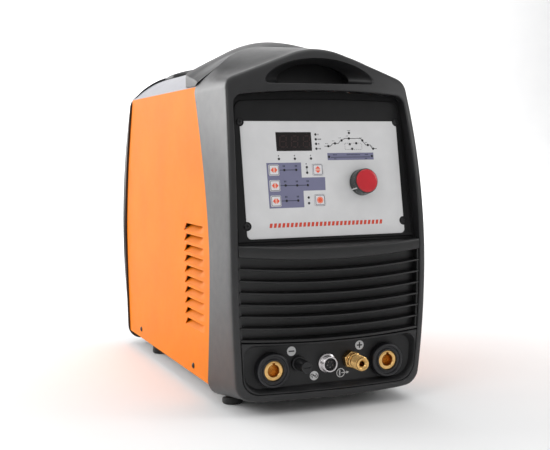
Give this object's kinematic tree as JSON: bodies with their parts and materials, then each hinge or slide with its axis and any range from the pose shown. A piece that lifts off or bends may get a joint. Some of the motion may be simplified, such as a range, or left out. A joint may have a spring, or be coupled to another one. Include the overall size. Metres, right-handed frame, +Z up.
{
  "type": "tig welding machine",
  "caption": "Portable inverter welding machine with moulded bezels, steel sides, carrying handle, control face, air grille, weld sockets and gas fittings.",
  "frame": {"origin": "on the floor under the middle of the bounding box", "axes": "+Z up, -Y out of the control face, +X to the right of someone facing it"},
  "size_m": [0.2376, 0.547, 0.4266],
  "materials": {
    "bezel_plastic": "fine spark-eroded grain, satin",
    "trim_plastic": "fine grain, matt",
    "orange_steel": "powder coat, semi-gloss, light orange peel",
    "grey_steel": "powder coat, satin",
    "zinc_steel": "zinc plated",
    "label_film": "printed polyester film, satin",
    "display_film": "dark red tinted window, gloss",
    "white_key": "moulded, satin",
    "red_plastic": "moulded, gloss",
    "brass": "turned, bright",
    "nickel": "nickel plated, bright",
    "aluminium": "extruded, bare",
    "copper": "bare and enamelled copper",
    "ferrite": "sintered, matt",
    "circuit_board": "solder mask",
    "rubber": "moulded, matt",
    "hose_rubber": "smooth tube"
  },
  "bodies": {
    "cabinet": {"front_bezel": "bezel_plastic", "rear_bezel": "bezel_plastic", "handle": "bezel_plastic", "front_grip_pocket": "trim_plastic", "rear_grip_pocket": "trim_plastic", "control_fascia": "trim_plastic", "front_grille": "trim_plastic", "connector_panel": "trim_plastic", "label_screw_top_left": "trim_plastic", "label_screw_top_right": "trim_plastic", "label_screw_low_left": "trim_plastic", "label_screw_low_right": "trim_plastic", "socket_collar_left": "trim_plastic", "socket_collar_right": "trim_plastic", "torch_connector_insert": "trim_plastic", "fuse_holder": "trim_plastic", "fan_frame": "trim_plastic", "switch_body": "trim_plastic", "cable_gland": "trim_plastic", "side_panel_left": "orange_steel", "side_panel_right": "orange_steel", "roof_cover": "grey_steel", "rear_panel": "grey_steel", "base_plate": "zinc_steel", "chassis_tray": "zinc_steel", "label_plate": "label_film", "display_window": "display_film", "socket_contact_left": "brass", "socket_contact_right": "brass", "gas_outlet": "brass", "gas_inlet": "brass", "solenoid_valve": "brass", "torch_connector_shell": "nickel", "heat_sink": "aluminium", "filter_capacitor": "aluminium", "arc_starter_coil": "copper", "transformer_winding": "copper", "output_choke": "copper", "busbar_minus": "copper", "busbar_plus": "copper", "transformer_core": "ferrite", "control_board": "circuit_board", "inverter_board": "circuit_board", "foot_front_left": "rubber", "foot_front_right": "rubber", "foot_rear_left": "rubber", "foot_rear_right": "rubber", "gas_hose": "hose_rubber"},
    "knob": {"knob_body": "trim_plastic", "knob_cap": "red_plastic", "knob_shaft": "nickel"},
    "fan_rotor": {"fan_rotor": "trim_plastic"},
    "switch_rocker": {"switch_rocker": "trim_plastic"},
    "fuse_cap": {"fuse_cap": "trim_plastic"},
    "key_mode": {"key_mode": "white_key"},
    "key_trigger": {"key_trigger": "white_key"},
    "key_current": {"key_current": "white_key"},
    "key_adjust": {"key_adjust": "white_key"},
    "key_gas_test": {"key_gas_test": "white_key"}
  },
  "joints": [
    {"name": "knob_turn", "type": "hinge", "parent": "cabinet", "child": "knob", "pos_m": [0.0455, -0.23074, 0.25326], "axis": [0, -0.9858, 0.1679], "continuous": true},
    {"name": "key_mode_press", "type": "slide", "parent": "cabinet", "child": "key_mode", "axis": [0, 0.9858, -0.1679], "range_m": [0, 0.0005], "stiffness_N_per_m": 2500, "springref_m": -0.0001},
    {"name": "key_trigger_press", "type": "slide", "parent": "cabinet", "child": "key_trigger", "axis": [0, 0.9858, -0.1679], "range_m": [0, 0.0005], "stiffness_N_per_m": 2500, "springref_m": -0.0001},
    {"name": "key_current_press", "type": "slide", "parent": "cabinet", "child": "key_current", "axis": [0, 0.9858, -0.1679], "range_m": [0, 0.0005], "stiffness_N_per_m": 2500, "springref_m": -0.0001},
    {"name": "key_adjust_press", "type": "slide", "parent": "cabinet", "child": "key_adjust", "axis": [0, 0.9858, -0.1679], "range_m": [0, 0.0005], "stiffness_N_per_m": 2500, "springref_m": -0.0001},
    {"name": "key_gas_test_press", "type": "slide", "parent": "cabinet", "child": "key_gas_test", "axis": [0, 0.9858, -0.1679], "range_m": [0, 0.0005], "stiffness_N_per_m": 2500, "springref_m": -0.0001},
    {"name": "fan_spin", "type": "hinge", "parent": "cabinet", "child": "fan_rotor", "pos_m": [0, 0.2212, 0.205], "axis": [0, 1, 0], "continuous": true},
    {"name": "switch_rock", "type": "hinge", "parent": "cabinet", "child": "switch_rocker", "pos_m": [-0.0735, 0.2335, 0.274], "axis": [1, 0, 0], "range_deg": [0, 16]},
    {"name": "fuse_cap_turn", "type": "hinge", "parent": "cabinet", "child": "fuse_cap", "pos_m": [-0.0375, -0.2395, 0.0545], "axis": [0, -1, 0], "range_deg": [0, 90]}
  ]
}
